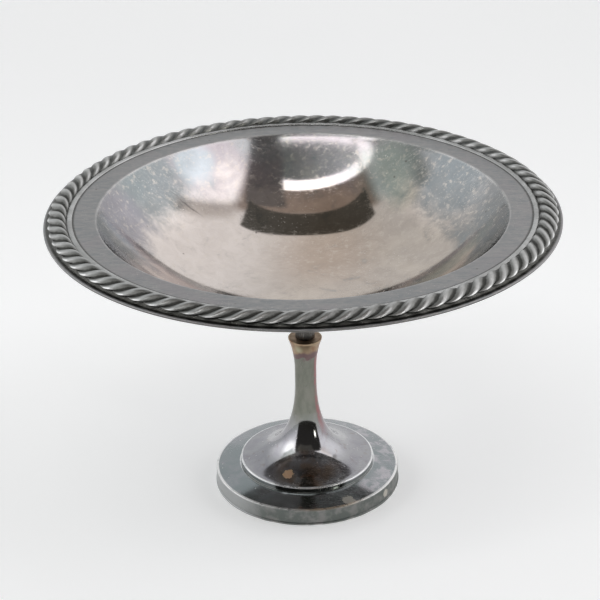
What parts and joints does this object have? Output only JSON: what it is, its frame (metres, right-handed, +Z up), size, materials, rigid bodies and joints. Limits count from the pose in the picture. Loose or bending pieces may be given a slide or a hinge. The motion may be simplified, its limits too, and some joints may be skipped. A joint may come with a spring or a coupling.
{
  "type": "footed compote dish",
  "caption": "Footed compote: a shallow round bowl with a gadroon border on a trumpet stem and stepped foot, held together by one threaded rod with a nut under the foot.",
  "frame": {"origin": "centre of the ring that the foot stands on, in the plane of the surface under it", "axes": "+Z up along the stem's axis, -Y towards the viewer"},
  "size_m": [0.16, 0.16, 0.0987],
  "materials": {
    "bowl_plate": "silver plate over brass, spun and polished, tarnished, pitted and finely scratched",
    "border_plate": "cast and silver plated, worn bright on the lobes and oxidised dark in the grooves",
    "bead_plate": "silver plated wire, satin",
    "boss_plate": "silver plated, heavily tarnished",
    "stem_plate": "silver plate over brass, polished, tarnished, with brass showing at the flared top",
    "foot_plate": "silver plate over brass, polished, tarnished, worn bright on the edges",
    "bare_brass": "unplated brass, dull",
    "brass_rod": "unplated brass, machined",
    "steel": "spring steel, dark"
  },
  "bodies": {
    "compote": {"bowl": "bowl_plate", "gadroon_border": "border_plate", "rim_bead": "bead_plate", "bowl_boss": "boss_plate", "tie_rod": "brass_rod", "stem_cap": "bare_brass", "stem": "stem_plate", "foot": "foot_plate", "foot_ring": "foot_plate", "clamp_washer": "bare_brass"},
    "lock_washer": {"lock_washer": "steel"},
    "nut": {"nut": "brass_rod"}
  },
  "joints": [
    {"name": "nut_travel", "type": "slide", "parent": "compote", "child": "lock_washer", "axis": [0, 0, -1], "range_m": [0, 0.0035]},
    {"name": "nut_turn", "type": "hinge", "parent": "lock_washer", "child": "nut", "pos_m": [0, 0, 0.0093], "axis": [0, 0, -1], "range_deg": [0, 1800]}
  ],
  "couplings": [
    {"joint": "nut_turn", "follows": "nut_travel", "rad_per_m": 8976}
  ]
}
